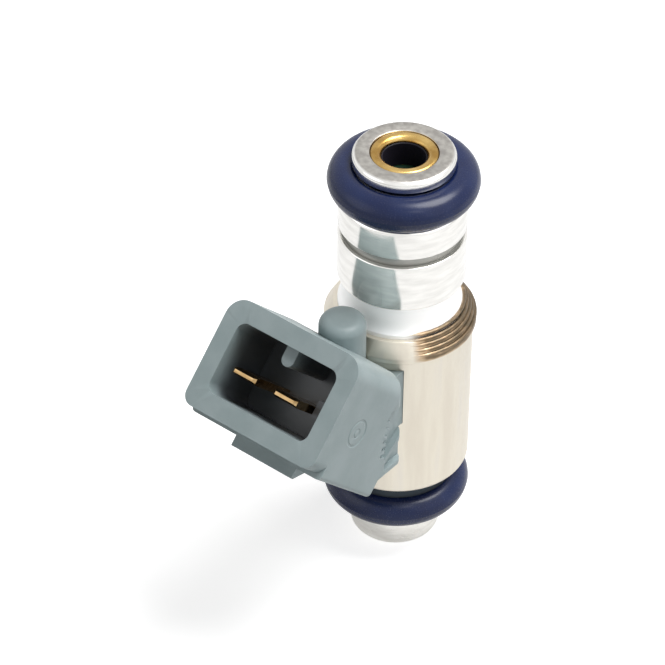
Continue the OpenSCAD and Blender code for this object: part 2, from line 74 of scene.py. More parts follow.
def seen_directly(tree, for_camera=1.0, for_gloss=1.0):
    """A strength on rays from the camera, another on rays off gloss or through clear plastic."""
    path = add(tree, "ShaderNodeLightPath")
    direct = add(tree, "ShaderNodeMath", {0: path.outputs["Is Camera Ray"], 1: for_camera},
                 operation="MULTIPLY")
    either = add(tree, "ShaderNodeMath", {0: path.outputs["Is Glossy Ray"],
                                          1: path.outputs["Is Transmission Ray"]},
                 operation="MAXIMUM")
    return add(tree, "ShaderNodeMath", {0: either.outputs[0], 1: for_gloss, 2: direct.outputs[0]},
               operation="MULTIPLY_ADD").outputs[0]


paper_half = 3.0
paper_grey = 0.62
paper_glow = 0.70
mirrored_glow = 0.36
paper_mesh = bpy.data.meshes.new("paper")
paper_mesh.from_pydata([(x * paper_half, y * paper_half, 0) for x, y in
                        ((-1, -1), (1, -1), (1, 1), (-1, 1))], [], [(0, 1, 2, 3)])
paper = bpy.data.objects.new("paper", paper_mesh)
scene.collection.objects.link(paper)
paper_white = bpy.data.materials.new("paper_white")
paper_white.use_nodes = True
tree = paper_white.node_tree
tree.nodes.clear()
matt = add(tree, "ShaderNodeBsdfDiffuse", {"Color": (paper_grey, paper_grey, paper_grey, 1)})
glow = add(tree, "ShaderNodeEmission", {"Color": (1, 1, 1, 1)})
tree.links.new(seen_directly(tree, paper_glow, mirrored_glow), glow.inputs["Strength"])
both = add(tree, "ShaderNodeAddShader", {0: matt.outputs[0], 1: glow.outputs[0]})
add(tree, "ShaderNodeOutputMaterial", {"Surface": both.outputs[0]})
paper_mesh.materials.append(paper_white)

room_light = 0.18
room = bpy.data.worlds.new("room")
scene.world = room
room.use_nodes = True
tree = room.node_tree
tree.nodes.clear()
soft = add(tree, "ShaderNodeBackground", {"Color": (1, 1, 1, 1), "Strength": room_light})
white = add(tree, "ShaderNodeBackground", {"Color": (1, 1, 1, 1), "Strength": 1.0})
mixed = add(tree, "ShaderNodeMixShader", {0: seen_directly(tree), 1: soft.outputs[0],
                                         2: white.outputs[0]})
add(tree, "ShaderNodeOutputWorld", {"Surface": mixed.outputs[0]})

target = Vector((-0.00512, -0.00410, 0.02441))


def outward(azimuth, elevation):
    """Unit vector from the object towards an azimuth off -Y and an elevation, in degrees."""
    a, e = math.radians(azimuth), math.radians(elevation)
    return Vector((math.sin(a) * math.cos(e), -math.cos(a) * math.cos(e), math.sin(e)))


# name, azimuth, elevation, distance, size and power of each lamp
lamps = [
    ("lamp_key", 133, 66, 0.50, 0.32, 2.70),
    ("lamp_right", 95, 25, 0.60, 0.60, 0.44),
    ("lamp_left", -30, 25, 0.60, 0.50, 0.36),
    ("lamp_front", 62, 50, 0.60, 0.14, 0.16),
]
for name, azimuth, elevation, distance, size, power in lamps:
    light = bpy.data.lights.new(name, "AREA")
    light.shape = "DISK"
    light.size = size
    light.energy = power
    lamp = bpy.data.objects.new(name, light)
    scene.collection.objects.link(lamp)
    lamp.location = target + outward(azimuth, elevation) * distance
    lamp.rotation_euler = outward(azimuth, elevation).to_track_quat("Z", "Y").to_euler()

camera_azimuth = 38.7
camera_elevation = 40.25
camera_distance = 0.3608
camera_roll = math.radians(0.715)
back = outward(camera_azimuth, camera_elevation)
right = Vector((0, 0, 1)).cross(back).normalized()
up = back.cross(right)
camera_x = math.cos(camera_roll) * right + math.sin(camera_roll) * up
camera_y = math.cos(camera_roll) * up - math.sin(camera_roll) * right
turn = Matrix((camera_x, camera_y, back)).transposed()
camera = bpy.data.objects.new("camera", bpy.data.cameras.new("camera"))
scene.collection.objects.link(camera)
camera.matrix_world = Matrix.Translation(target + back * camera_distance) @ turn.to_4x4()
camera.data.lens = 199.5
camera.data.sensor_width = 36
camera.data.clip_start = 0.01
scene.camera = camera


# ---- inlet tube and neck ----
# The inlet tube and the neck sleeve are turned from bright stainless steel on a lathe, which
# leaves fine rings round them. The sleeve is pressed over the tube.

def surface(name, metallic, specular=0.5):
    """A new material with its Principled shader; returns the material, tree and shader."""
    material = bpy.data.materials.new(name)
    material.use_nodes = True
    tree = material.node_tree
    tree.nodes.clear()
    shader = add(tree, "ShaderNodeBsdfPrincipled", {"Metallic": metallic,
                                                   "Specular IOR Level": specular})
    add(tree, "ShaderNodeOutputMaterial", {"Surface": shader.outputs[0]})
    return material, tree, shader


def place(tree, scale=(1, 1, 1)):
    """Points of the surface in millimetres, stretched by scale."""
    spot = add(tree, "ShaderNodeTexCoord")
    return add(tree, "ShaderNodeMapping", {"Vector": spot.outputs["Object"],
                                           "Scale": tuple(s / MM for s in scale)}).outputs[0]


def grain(tree, vector, scale, detail=3, roughness=0.5):
    """Noise over the surface, from about 0.3 to 0.7."""
    return add(tree, "ShaderNodeTexNoise", {"Vector": vector, "Scale": scale, "Detail": detail,
                                            "Roughness": roughness}).outputs["Fac"]


def spread(tree, value, low, high, start=0.3, end=0.7):
    """Turns a value between start and end into one between low and high."""
    return add(tree, "ShaderNodeMapRange", {"Value": value, "From Min": start, "From Max": end,
                                            "To Min": low, "To Max": high}).outputs[0]


def times(tree, first, second):
    """The product of two values."""
    return add(tree, "ShaderNodeMath", {0: first, 1: second}, operation="MULTIPLY").outputs[0]


def tint(tree, value, stops):
    """Colour ramp; stops are (position, (r, g, b))."""
    ramp = add(tree, "ShaderNodeValToRGB", {"Fac": value})
    while len(ramp.color_ramp.elements) < len(stops):
        ramp.color_ramp.elements.new(1)
    for element, (position, colour) in zip(ramp.color_ramp.elements, stops):
        element.position = position
        element.color = (*colour, 1)
    return ramp.outputs["Color"]


def relief(tree, shader, height, depth, strength=0.5):
    """Bump of that depth in millimetres."""
    bump = add(tree, "ShaderNodeBump", {"Height": height, "Distance": depth * MM,
                                        "Strength": strength})
    tree.links.new(bump.outputs[0], shader.inputs["Normal"])


def lathe_rings(tree, pitch, wander=0.6):
    """Fine rings round the Z axis, pitch millimetres apart."""
    wave = add(tree, "ShaderNodeTexWave", {"Vector": place(tree), "Scale": 0.314 / pitch,
                                           "Distortion": wander, "Detail": 2,
                                           "Detail Scale": 0.6},
               bands_direction="Z")
    return wave.outputs["Fac"]


def turned_metal(name, dark, light, rough, pitch=0.12):
    """Lathe-turned metal: rings, soft bands round it and small changes of shine."""
    material, tree, shader = surface(name, 1)
    cloud = grain(tree, place(tree, (0.35, 0.35, 1.8)), 1.1, 4)
    tree.links.new(tint(tree, cloud, [(0.35, dark), (0.65, light)]), shader.inputs["Base Color"])
    rings = lathe_rings(tree, pitch)
    fine = grain(tree, place(tree, (1, 1, 14)), 0.9, 4)
    tree.links.new(spread(tree, fine, *rough), shader.inputs["Roughness"])
    both = add(tree, "ShaderNodeMath", {0: rings, 1: fine}, operation="ADD")
    relief(tree, shader, both.outputs[0], 0.004, 0.25)
    return material


def wear(material, *names):
    """Gives CAD nodes that finish."""
    for name in names:
        data = nodes[name].data
        data.materials.clear()
        data.materials.append(material)


def within(tree, value, low, high, soft=0.02):
    """1 where value lies between low and high, 0 outside, with soft edges."""
    return times(tree, spread(tree, value, 0, 1, low - soft, low + soft),
                 spread(tree, value, 1, 0, high - soft, high + soft))


def off_axis(tree):
    """The part of place() that points straight out from the injector's axis."""
    return add(tree, "ShaderNodeVectorMath", {0: place(tree), 1: (1, 1, 0)},
               operation="MULTIPLY").outputs[0]


def radius(tree):
    """Distance from the injector's axis in millimetres."""
    return add(tree, "ShaderNodeVectorMath", {0: off_axis(tree)},
               operation="LENGTH").outputs["Value"]


def rise(tree):
    """Height over the tip in millimetres."""
    return add(tree, "ShaderNodeSeparateXYZ", {0: place(tree)}).outputs["Z"]


def opened(material):
    """The tree of a finished material and its Principled shader."""
    return material.node_tree, material.node_tree.nodes["Principled BSDF"]


def recoloured(tree, shader, mask, colour, rough):
    """Where mask is 1 the surface takes another colour and roughness."""
    for socket, kind, other in (("Base Color", "RGBA", colour), ("Roughness", "FLOAT", rough)):
        before = shader.inputs[socket].links[0].from_socket
        mix = add(tree, "ShaderNodeMix", {}, data_type=kind)
        slots = [i for i in mix.inputs if i.enabled]
        tree.links.new(mask, slots[0])
        tree.links.new(before, slots[1])
        if isinstance(other, bpy.types.NodeSocket):
            tree.links.new(other, slots[2])
        else:
            slots[2].default_value = (*other, 1) if kind == "RGBA" else other
        out = [o for o in mix.outputs if o.enabled][0]
        tree.links.new(out, shader.inputs[socket])


def new_tree(name, sizes):
    """An empty geometry tree that takes a mesh and the named sizes, whole numbers or not.

    Returns the tree and its inputs. The sizes themselves are set by grown().
    """
    tree = bpy.data.node_groups.new(name, "GeometryNodeTree")
    tree.interface.new_socket("Mesh", in_out="INPUT", socket_type="NodeSocketGeometry")
    for size, value in sizes.items():
        kind = "NodeSocketInt" if isinstance(value, int) else "NodeSocketFloat"
        tree.interface.new_socket(size, in_out="INPUT", socket_type=kind)
    tree.interface.new_socket("Finish", in_out="INPUT", socket_type="NodeSocketMaterial")
    tree.interface.new_socket("Mesh", in_out="OUTPUT", socket_type="NodeSocketGeometry")
    return tree, tree.nodes.new("NodeGroupInput").outputs


def close_tree(tree, geometry, finish):
    """Ends a geometry tree in Realize Instances and Set Material."""
    real = add(tree, "GeometryNodeRealizeInstances", {0: geometry})
    dressed = add(tree, "GeometryNodeSetMaterial", {"Geometry": real.outputs[0],
                                                    "Material": finish})
    add(tree, "NodeGroupOutput", {0: dressed.outputs[0]})


def grown(name, tree, sizes, material, mesh=None):
    """Runs a geometry tree with these sizes and keeps the result as a plain mesh."""
    seed = bpy.data.objects.new(name + "_seed", mesh or bpy.data.meshes.new(name + "_seed"))
    scene.collection.objects.link(seed)
    modifier = seed.modifiers.new(name, "NODES")
    modifier.node_group = tree
    sockets = {item.name: item.identifier for item in tree.interface.items_tree
               if item.in_out == "INPUT"}
    for size, value in sizes.items():
        modifier[sockets[size]] = value
    modifier[sockets["Finish"]] = material
    bpy.context.view_layer.update()
    ready = seed.evaluated_get(bpy.context.evaluated_depsgraph_get())
    data = bpy.data.meshes.new_from_object(ready)
    bpy.data.objects.remove(seed)
    data.name = name
    solid = bmesh.new()
    solid.from_mesh(data)
    bmesh.ops.remove_doubles(solid, verts=solid.verts, dist=0.0005 * MM)
    bmesh.ops.recalc_face_normals(solid, faces=solid.faces)
    solid.to_mesh(data)
    solid.free()
    data.shade_smooth()
    data.set_sharp_from_angle(angle=math.radians(32))
    piece = bpy.data.objects.new(name, data)
    scene.collection.objects.link(piece)
    return piece


# a closed outline of (radius, height) points, turned round the axis
lathe_sizes = {"Centre Radius": 0.001, "Steps": 96}
lathe, given = new_tree("lathe", lathe_sizes)
outline = add(lathe, "GeometryNodeMeshToCurve", {"Mesh": given["Mesh"]})
track = add(lathe, "GeometryNodeCurvePrimitiveCircle", {"Resolution": given["Steps"],
                                                        "Radius": given["Centre Radius"]})
turned = add(lathe, "GeometryNodeCurveToMesh", {"Curve": track.outputs[0],
                                                "Profile Curve": outline.outputs[0]})
close_tree(lathe, turned.outputs[0], given["Finish"])


def turned_piece(name, points, material, steps=96):
    """A ring-shaped piece lathed from an outline of (radius, height) points in millimetres."""
    middle = sum(r for r, z in points) / len(points)
    outline = bpy.data.meshes.new(name + "_outline")
    outline.from_pydata([((r - middle) * MM, -z * MM, 0) for r, z in points],
                        [(i, (i + 1) % len(points)) for i in range(len(points))], [])
    return grown(name, lathe, {"Centre Radius": middle * MM, "Steps": steps}, material, outline)


def arc(centre_r, centre_z, r, start, end, steps=6):
    """Outline points on an arc, angles in degrees from the outward direction."""
    return [(centre_r + r * math.cos(math.radians(start + (end - start) * i / steps)),
             centre_z + r * math.sin(math.radians(start + (end - start) * i / steps)))
            for i in range(steps + 1)]


tube_low, tube_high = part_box("inlet_tube")
neck_low, neck_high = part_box("neck_sleeve")
bright = ((0.80, 0.79, 0.76), (0.92, 0.91, 0.88), (0.10, 0.18))
core_r = 3.78
bore_floor = 33.8
collar_seat_r = 3.3
spring_bore_r = 2.0
flange_foot = 45.5
flange_edge = 0.2
seat_edge = 0.1
tube_top = tube_high.z / MM
flange_r = tube_high.x / MM
lip_round = 0.5

tube_steel = turned_metal("tube_steel", *bright)
tree, shader = opened(tube_steel)
# the flat top face takes a darker, mottled grey and is rougher than the turned sides
face = spread(tree, rise(tree), 0, 1, tube_top - 0.1, tube_top - 0.02)
darker_face_colour = tint(tree, grain(tree, place(tree), 1.6, 3), [(0.36, (0.31, 0.295, 0.275)),
                                                      (0.64, (0.43, 0.415, 0.385))])
recoloured(tree, shader, face, darker_face_colour, 0.42)
inlet = turned_piece("inlet_tube_turned", [
    (spring_bore_r, tube_low.z / MM), (core_r, tube_low.z / MM), (core_r, flange_foot),
    (flange_r - 0.25, flange_foot),
    *arc(flange_r - flange_edge, flange_foot + flange_edge, flange_edge, -60, 0, 3),
    *arc(flange_r - lip_round, tube_top - lip_round, lip_round, 0, 90, 8),
    *arc(collar_seat_r + seat_edge, tube_top - seat_edge, seat_edge, 90, 180, 3),
    (collar_seat_r, bore_floor), (spring_bore_r, bore_floor)], tube_steel, 128)
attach(inlet, "body")
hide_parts("inlet_tube")

neck_foot_r = neck_high.x / MM
neck_foot = neck_low.z / MM
neck_top = neck_high.z / MM
foot_top = neck_foot + 1.25
waist_r = 5.75
waist_top = foot_top + 4.15
waist_flare = 0.38
flare_round = 2
flare_top = 2.15
neck_r = 6.25
neck_foot_edge = 0.3
neck_top_edge = 0.42
groove_floor_r = 5.75
groove_low = 37.6
groove_high = 38.66
groove_edge = 0.13
waist_glare_from = 28.0
neck_steel = turned_metal("neck_steel", *bright)
tree, shader = opened(neck_steel)
# the groove is darker and rougher than the rest of the sleeve
groove = times(tree, spread(tree, radius(tree), 1, 0, groove_floor_r + 0.05, neck_r - 0.15),
               within(tree, rise(tree), groove_low - 0.1, groove_high + 0.14))
recoloured(tree, shader, groove, (0.36, 0.36, 0.34), 0.4)
# the waist takes a near-white colour and a rough finish: a painted glare, brighter than the bare
# turned steel
waist = within(tree, rise(tree), waist_glare_from, waist_top - 0.05)
recoloured(tree, shader, waist, (0.98, 0.98, 0.975), 0.72)
neck = turned_piece("neck_turned", [
    (core_r, neck_foot), (neck_foot_r, neck_foot), (neck_foot_r, foot_top),
    (waist_r + waist_flare, foot_top),
    *arc(waist_r + flare_round, foot_top + flare_top, -flare_round, 36, 0),
    (waist_r, waist_top),
    *arc(neck_r - neck_foot_edge, waist_top + neck_foot_edge, neck_foot_edge, -90, 0),
    *arc(neck_r - groove_edge, groove_low - groove_edge, groove_edge, 0, 90, 4),
    (groove_floor_r, groove_low), (groove_floor_r, groove_high),
    *arc(neck_r - groove_edge, groove_high + groove_edge, groove_edge, -90, 0, 4),
    *arc(neck_r - neck_top_edge, neck_top - neck_top_edge, neck_top_edge, 0, 90, 6),
    (core_r, neck_top)], neck_steel, 128)
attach(neck, "body")
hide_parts("neck_sleeve")


# ---- filter collar ----
# A short brass tube pressed into the inlet holds the filter. Its mouth is rolled over, and a
# thin dark joint is left between it and the steel.
collar_low, collar_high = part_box("filter_collar")
collar_top = collar_high.z / MM - 0.03
bore_r = 2.2
mouth_round = 0.55
joint_round = 0.32
press_gap = 0.005
brass = turned_metal("brass", (0.36, 0.21, 0.055), (0.66, 0.46, 0.17), (0.2, 0.34), 0.1)
tree, shader = opened(brass)
joint = spread(tree, radius(tree), 0, 1, collar_seat_r - 0.12, collar_seat_r - 0.03)
recoloured(tree, shader, joint, (0.07, 0.04, 0.015), 0.5)
collar = turned_piece("brass_collar", [
    (bore_r, collar_low.z / MM), (collar_seat_r - press_gap, collar_low.z / MM),
    *arc(collar_seat_r - press_gap - joint_round, collar_top - joint_round, joint_round, 0, 90),
    *arc(bore_r + mouth_round, collar_top - mouth_round, mouth_round, 90, 180, 8)], brass, 128)
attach(collar, "body")
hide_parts("filter_collar")


# ---- shade sleeve in the bore ----
# A thin near-black sleeve lines the brass collar's bore from just under its mouth: painted
# shade in the bore.

def moulded(name, dark, light, rough, fleck=0.01, specular=0.5):
    """Injection-moulded plastic: faint clouding, fine satin grain."""
    material, tree, shader = surface(name, 0, specular)
    cloud = grain(tree, place(tree), 0.35, 4)
    tree.links.new(tint(tree, cloud, [(0.35, dark), (0.65, light)]), shader.inputs["Base Color"])
    fine = grain(tree, place(tree), 9, 3)
    tree.links.new(spread(tree, fine, *rough), shader.inputs["Roughness"])
    relief(tree, shader, fine, fleck, 0.4)
    return material


bore_shade_black = moulded("bore_shade_black", (0.010, 0.009, 0.015), (0.016, 0.014, 0.022), (0.4, 0.55),
                       0.01, 0.2)
sleeve_wall = 0.12
sleeve_foot = collar_low.z / MM + 0.1
sleeve_top = collar_high.z / MM - 0.56
sleeve_edge = 0.06
sleeve = turned_piece("bore_shade_sleeve", [
    (bore_r - sleeve_wall, sleeve_foot), (bore_r - press_gap, sleeve_foot),
    (bore_r - press_gap, sleeve_top - sleeve_edge), (bore_r - 0.04, sleeve_top),
    (bore_r - sleeve_wall, sleeve_top - sleeve_edge)], bore_shade_black)
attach(sleeve, "body")


# ---- filter basket ----
# A cage of dark green nylon hangs deep in the bore. A fine woven mesh is moulded into it and
# keeps dirt out of the valve.
filter_nylon = moulded("filter_nylon", (0.01, 0.035, 0.02), (0.02, 0.06, 0.03), (0.3, 0.45))
wear(filter_nylon, "filter_frame")

# upright wires on a circle, crossed by rings up their height
gauze_sizes = {"Radius": 0.001, "Height": 0.001, "Foot": 0.0, "Wires": 36, "Rings": 30,
               "Wire Radius": 0.0001}
gauze, given = new_tree("gauze", gauze_sizes)
round_track = add(gauze, "GeometryNodeCurvePrimitiveCircle", {"Resolution": given["Wires"],
                                                              "Radius": given["Radius"]})
foot_point = add(gauze, "ShaderNodeCombineXYZ", {"Z": given["Foot"]})
reach = add(gauze, "ShaderNodeCombineXYZ", {"Z": given["Height"]})
lowest = add(gauze, "GeometryNodeTransform", {"Geometry": round_track.outputs[0],
                                              "Translation": foot_point.outputs[0]})
stem = add(gauze, "GeometryNodeCurvePrimitiveLine", {"End": reach.outputs[0]})
stems = add(gauze, "GeometryNodeInstanceOnPoints", {"Points": lowest.outputs[0],
                                                    "Instance": stem.outputs[0]})
summit = add(gauze, "ShaderNodeVectorMath", {0: foot_point.outputs[0], 1: reach.outputs[0]},
             operation="ADD")
ladder = add(gauze, "GeometryNodeMeshLine", {"Count": given["Rings"],
                                             "Start Location": foot_point.outputs[0],
                                             "Offset": summit.outputs[0]}, mode="END_POINTS")
hoops = add(gauze, "GeometryNodeInstanceOnPoints", {"Points": ladder.outputs[0],
                                                    "Instance": round_track.outputs[0]})
woven = add(gauze, "GeometryNodeJoinGeometry")
gauze.links.new(stems.outputs[0], woven.inputs[0])
gauze.links.new(hoops.outputs[0], woven.inputs[0])
threads = add(gauze, "GeometryNodeRealizeInstances", {0: woven.outputs[0]})
section = add(gauze, "GeometryNodeCurvePrimitiveCircle", {"Resolution": 5,
                                                          "Radius": given["Wire Radius"]})
wires = add(gauze, "GeometryNodeCurveToMesh", {"Curve": threads.outputs[0],
                                               "Profile Curve": section.outputs[0],
                                               "Fill Caps": True})
close_tree(gauze, wires.outputs[0], given["Finish"])

mesh_low, mesh_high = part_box("filter_mesh")
gauze_wire = 0.035
filter_gauze = grown("filter_gauze", gauze, {
    "Radius": mesh_high.x - gauze_wire * MM, "Foot": mesh_low.z + gauze_wire * MM,
    "Height": mesh_high.z - mesh_low.z - 2 * gauze_wire * MM, "Wires": 40, "Rings": 34,
    "Wire Radius": gauze_wire * MM}, filter_nylon)
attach(filter_gauze, "body")
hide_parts("filter_mesh")


# ---- adjusting tube and return spring ----
# A steel tube, pressed into the inlet tube, sets the preload of a coil spring of drawn wire.
# The spring's end turns lie closed, and its lower one rests on the armature.
inner_steel = turned_metal("inner_steel", (0.42, 0.42, 0.40), (0.60, 0.60, 0.57), (0.25, 0.4))
spring_steel = turned_metal("spring_steel", (0.30, 0.31, 0.32), (0.50, 0.51, 0.52), (0.22, 0.35))
wear(inner_steel, "adjusting_tube", "upper_flux_washer", "lower_flux_washer", "armature_sleeve",
     "armature")

# round wire drawn along any path
wire_sizes = {"Wire Radius": 0.0001, "Sides": 8}
wire, given = new_tree("wire", wire_sizes)
path = add(wire, "GeometryNodeMeshToCurve", {"Mesh": given["Mesh"]})
section = add(wire, "GeometryNodeCurvePrimitiveCircle", {"Resolution": given["Sides"],
                                                         "Radius": given["Wire Radius"]})
drawn = add(wire, "GeometryNodeCurveToMesh", {"Curve": path.outputs[0],
                                              "Profile Curve": section.outputs[0],
                                              "Fill Caps": True})
close_tree(wire, drawn.outputs[0], given["Finish"])


def wound(name, middle_r, wire_r, foot, height, turns, dead_turns, material, steps=28):
    """A coil of round wire; sizes in millimetres, dead_turns lie closed at each end."""
    points = []
    count = int(turns * steps)
    closed_pitch = 2.05 * wire_r
    closed = dead_turns * closed_pitch
    run = height - 2 * wire_r
    for i in range(count + 1):
        turn = turns * i / count
        if turn < dead_turns:
            z = closed * turn / dead_turns
        elif turn > turns - dead_turns:
            z = run - closed * (turns - turn) / dead_turns
        else:
            z = closed + (run - 2 * closed) * (turn - dead_turns) / (turns - 2 * dead_turns)
        angle = 2 * math.pi * turn
        points.append((middle_r * math.cos(angle) * MM, middle_r * math.sin(angle) * MM,
                       (foot + wire_r + z) * MM))
    line = bpy.data.meshes.new(name + "_path")
    line.from_pydata(points, [(i, i + 1) for i in range(count)], [])
    return grown(name, wire, {"Wire Radius": wire_r * MM, "Sides": 8}, material, line)


spring_low, spring_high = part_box("return_spring")
spring_wire = 0.22
spring_turns = 8
spring = wound("closing_spring", spring_high.x / MM - spring_wire, spring_wire,
               spring_low.z / MM, (spring_high.z - spring_low.z) / MM, spring_turns, 1,
               spring_steel)
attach(spring, "body")
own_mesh(spring)
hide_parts("return_spring")


# ---- outer can ----
# A drawn steel can with a warm plated finish, crimped and welded over the neck's foot. The
# weld has coloured its ridged shoulder straw to brown, most on the side away from the socket.
can_low, can_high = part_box("outer_can")
can_foot = can_low.z / MM
can_top = can_high.z / MM
shoulder = can_top - 2.3
can_r = 7.15
can_bore_r = 6.45
can_floor_t = 0.7
collar_hole_r = 5.95
crimp_r = 6.15
crimp_edge_r = 6.5
crimp_t = 0.55
proud = 0.3
roll = 0.45
shoulder_edge = 0.12


def facing(tree, azimuth):
    """1 on the side that faces that azimuth off -Y, 0 a quarter turn from it, -1 behind."""
    straight = add(tree, "ShaderNodeVectorMath", {0: off_axis(tree)},
                   operation="NORMALIZE").outputs[0]
    return add(tree, "ShaderNodeVectorMath", {0: straight, 1: tuple(outward(azimuth, 0))},
               operation="DOT_PRODUCT").outputs["Value"]


plated, tree, shader = surface("plated_can", 1)
cloud = grain(tree, place(tree, (1, 1, 0.12)), 0.55, 4)
pale = tint(tree, cloud, [(0.35, (0.71, 0.655, 0.56)), (0.52, (0.76, 0.71, 0.61)),
                          (0.68, (0.73, 0.685, 0.61))])
weld = spread(tree, rise(tree), 0, 1, shoulder + 0.3, shoulder + 0.6)
weld_start = 44
weld_end = 262
toward = facing(tree, (weld_start + weld_end) / 2)
side = spread(tree, toward, 0, 1, -0.26, 0.02)
patch = grain(tree, place(tree, (1, 1, 3)), 0.9, 3)
heat = times(tree, times(tree, weld, side), spread(tree, patch, 0.55, 1.2))
straw = tint(tree, heat, [(0.0, (1, 1, 1)), (0.3, (0.72, 0.585, 0.45)),
                          (0.7, (0.31, 0.24, 0.175)), (1.0, (0.215, 0.178, 0.135))])
burnt = add(tree, "ShaderNodeMix", {"Factor": 1.0, "A": pale, "B": straw},
            data_type="RGBA", blend_type="MULTIPLY")
tree.links.new(burnt.outputs["Result"], shader.inputs["Base Color"])
brush = grain(tree, place(tree, (5, 5, 1.6)), 1.0, 4)
tree.links.new(spread(tree, brush, 0.30, 0.42), shader.inputs["Roughness"])
relief(tree, shader, brush, 0.004, 0.25)

shell = turned_piece("can_shell", [
    (collar_hole_r, can_foot), *arc(can_r - roll, can_foot + roll, roll, -90, 0),
    (can_r, shoulder - 0.05), (can_r + 0.04, shoulder + 0.06),
    *arc(can_r + proud - shoulder_edge, shoulder + 0.34, shoulder_edge, -45, 0, 3),
    *arc(can_r + proud - shoulder_edge, shoulder + 0.78, shoulder_edge, 0, 34, 3),
    *arc(crimp_edge_r - 0.02, can_top - shoulder_edge, shoulder_edge, 34, 90, 3),
    (crimp_r, can_top),
    (crimp_r, can_top - crimp_t), (can_bore_r, can_top - crimp_t),
    (can_bore_r, can_foot + can_floor_t), (collar_hole_r, can_foot + can_floor_t)], plated, 128)


def settle(piece):
    """Turns a piece and its modifiers into a plain mesh."""
    bpy.context.view_layer.update()
    ready = piece.evaluated_get(bpy.context.evaluated_depsgraph_get())
    data = bpy.data.meshes.new_from_object(ready)
    data.name = piece.name
    piece.modifiers.clear()
    piece.data = data


def cut(piece, *cutters):
    """Takes the cutters out of a piece and removes them."""
    for cutter in cutters:
        boolean = piece.modifiers.new("cut", "BOOLEAN")
        boolean.operation = "DIFFERENCE"
        boolean.solver = "EXACT"
        boolean.object = cutter
    settle(piece)
    for cutter in cutters:
        bpy.data.objects.remove(cutter)


def block(name, low, high):
    """A box between two corners in millimetres, used to cut with."""
    mesh = bmesh.new()
    bmesh.ops.create_cube(mesh, size=1)
    low, high = Vector(low) * MM, Vector(high) * MM
    for vert in mesh.verts:
        vert.co = (low + high) / 2 + Vector(a * b for a, b in zip(vert.co, high - low))
    data = bpy.data.meshes.new(name)
    mesh.to_mesh(data)
    mesh.free()
    box = bpy.data.objects.new(name, data)
    scene.collection.objects.link(box)
    return box


# the window that the socket's root passes through
window_half = 4.75
window_low = 18.95
window_high = 25.75
cut(shell, block("window", (-window_half, -9, window_low), (window_half, -4, window_high)))
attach(shell, "body")
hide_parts("outer_can")

# beads of weld lie side by side from the shoulder up to the waist, away from the socket
bead_sizes = {"Beads": 5, "Low Radius": 0.001, "High Radius": 0.001, "Low Height": 0.001,
              "High Height": 0.001, "Start Angle": 0.0, "Sweep": 1.0, "Bead Radius": 0.0001,
              "Wander": 0.0, "Seed": 1.0}
beads, given = new_tree("weld_beads", bead_sizes)
row = add(beads, "GeometryNodeMeshLine", {"Count": given["Beads"], "Offset": (0, 0, 0)})
number = add(beads, "GeometryNodeInputIndex")
share = add(beads, "ShaderNodeMath", {0: number.outputs[0], 1: 0.5}, operation="ADD")
share = add(beads, "ShaderNodeMath", {0: share.outputs[0], 1: given["Beads"]},
            operation="DIVIDE")
width = add(beads, "ShaderNodeMapRange", {"Value": share.outputs[0],
                                          "To Min": given["Low Radius"],
                                          "To Max": given["High Radius"]})
level = add(beads, "ShaderNodeMapRange", {"Value": share.outputs[0],
                                          "To Min": given["Low Height"],
                                          "To Max": given["High Height"]})
stretch = add(beads, "ShaderNodeCombineXYZ", {"X": width.outputs[0], "Y": width.outputs[0],
                                              "Z": 1.0})
lift = add(beads, "ShaderNodeCombineXYZ", {"Z": level.outputs[0]})
row = add(beads, "GeometryNodeSetPosition", {"Geometry": row.outputs[0],
                                             "Offset": lift.outputs[0]})
sweep = add(beads, "GeometryNodeCurveArc", {"Resolution": 150, "Radius": 1.0,
                                            "Start Angle": given["Start Angle"],
                                            "Sweep Angle": given["Sweep"]})
laid = add(beads, "GeometryNodeInstanceOnPoints", {"Points": row.outputs[0],
                                                   "Instance": sweep.outputs[0],
                                                   "Scale": stretch.outputs[0]})
laid = add(beads, "GeometryNodeRealizeInstances", {0: laid.outputs[0]})
ripple = add(beads, "ShaderNodeTexNoise", {"W": given["Seed"], "Scale": 1400.0, "Detail": 1.0},
             noise_dimensions="4D")
ripple = add(beads, "ShaderNodeVectorMath", {0: ripple.outputs["Color"], 1: (0.5, 0.5, 0.5)},
             operation="SUBTRACT")
ripple = add(beads, "ShaderNodeVectorMath", {0: ripple.outputs[0], "Scale": given["Wander"]},
             operation="SCALE")
laid = add(beads, "GeometryNodeSetPosition", {"Geometry": laid.outputs[0],
                                              "Offset": ripple.outputs[0]})
run = add(beads, "GeometryNodeSplineParameter")
other_end = add(beads, "ShaderNodeMath", {0: 1.0, 1: run.outputs["Factor"]},
                operation="SUBTRACT")
near_end = add(beads, "ShaderNodeMath", {0: run.outputs["Factor"], 1: other_end.outputs[0]},
               operation="MINIMUM")
taper = add(beads, "ShaderNodeMapRange", {"Value": near_end.outputs[0], "From Max": 0.07,
                                          "To Min": 0.08}, interpolation_type="SMOOTHSTEP")
laid = add(beads, "GeometryNodeSetCurveRadius", {"Curve": laid.outputs[0],
                                                 "Radius": taper.outputs[0]})
section = add(beads, "GeometryNodeCurvePrimitiveCircle", {"Resolution": 10,
                                                          "Radius": given["Bead Radius"]})
beaded = add(beads, "GeometryNodeCurveToMesh", {"Curve": laid.outputs[0],
                                                "Profile Curve": section.outputs[0],
                                                "Fill Caps": True})
for socket in beaded.inputs:
    if socket.name == "Scale":
        beads.links.new(add(beads, "GeometryNodeInputRadius").outputs[0], socket)
close_tree(beads, beaded.outputs[0], given["Finish"])
weld_ridges = grown("weld_ridges", beads, {
    "Beads": 5, "Low Radius": (can_r + proud - 0.04) * MM,
    "High Radius": (waist_r + 0.30) * MM, "Low Height": (shoulder + 0.85) * MM,
    "High Height": (can_top + 0.75) * MM,
    "Start Angle": math.radians(weld_start - 90), "Sweep": math.radians(weld_end - weld_start),
    "Bead Radius": 0.20 * MM, "Wander": 0.06 * MM, "Seed": 3.0}, plated)
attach(weld_ridges, "body")


